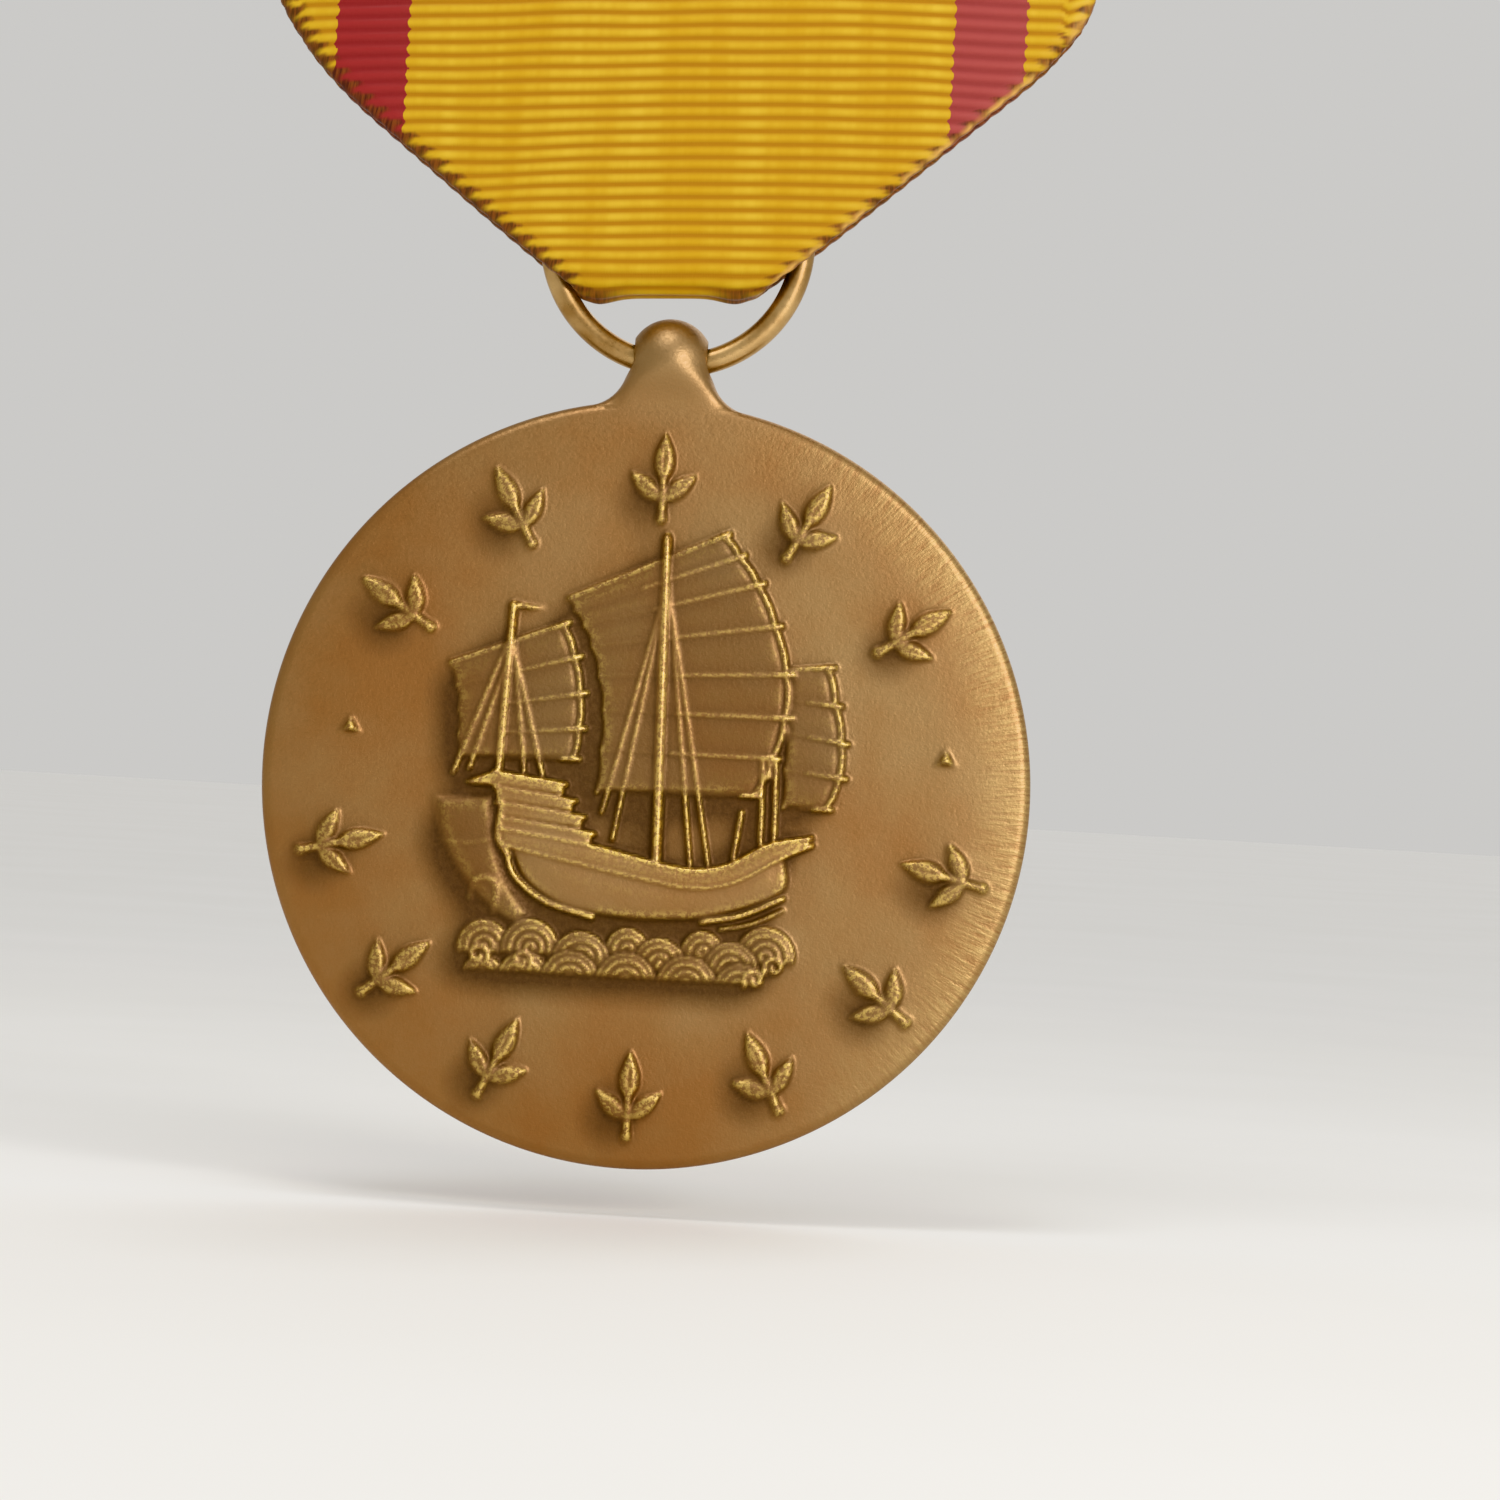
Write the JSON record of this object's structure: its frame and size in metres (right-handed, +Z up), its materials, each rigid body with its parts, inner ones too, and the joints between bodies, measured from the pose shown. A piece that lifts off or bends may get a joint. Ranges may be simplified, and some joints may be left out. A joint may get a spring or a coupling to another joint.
{
  "type": "service medal",
  "caption": "Round bronze medal with a ship in relief, hung by a wire ring from a folded striped ribbon with a pin brooch and safety catch behind.",
  "frame": {"origin": "middle of the pin's straight shank, on its axis", "axes": "+Z up as the medal hangs, +X across the ribbon to the right seen from the front, front faces -Y, pin points to +X"},
  "size_m": [0.0338, 0.0075, 0.0708],
  "materials": {
    "bronze": "satin sand-blasted antique bronze with bright raised edges",
    "ring_bronze": "drawn wire, antique bronze",
    "ribbon_cloth": "ribbed ribbon, yellow with two red stripes",
    "thread": "twisted polyester thread",
    "brooch_brass": "satin rolled sheet",
    "pin_steel": "nickel-plated wire"
  },
  "bodies": {
    "brooch": {"ribbon": "ribbon_cloth", "drape_stitches": "thread", "seam_stitches": "thread", "brooch_bar": "brooch_brass", "brooch_back_plate": "brooch_brass", "pin_joint": "brooch_brass", "joint_rivet": "brooch_brass", "catch_housing": "brooch_brass"},
    "ring": {"suspension_ring": "ring_bronze"},
    "medal": {"medal_disc": "bronze"},
    "pin": {"pin_stem": "pin_steel"},
    "rotor": {"catch_rotor": "brooch_brass"}
  },
  "joints": [
    {"name": "ring_turn", "type": "hinge", "parent": "brooch", "child": "ring", "pos_m": [0, -0.00403, -0.0273], "axis": [0, 1, 0], "range_deg": [-25, 25]},
    {"name": "medal_swing", "type": "hinge", "parent": "ring", "child": "medal", "pos_m": [0, -0.00403, -0.03235], "axis": [1, 0, 0], "range_deg": [-100, 100]},
    {"name": "pin_open", "type": "hinge", "parent": "brooch", "child": "pin", "pos_m": [-0.0146, 0, 0], "axis": [0, 0, 1], "range_deg": [0, 100]},
    {"name": "catch_turn", "type": "hinge", "parent": "brooch", "child": "rotor", "pos_m": [0.0143, 0, 0], "axis": [1, 0, 0], "range_deg": [0, 150]}
  ]
}
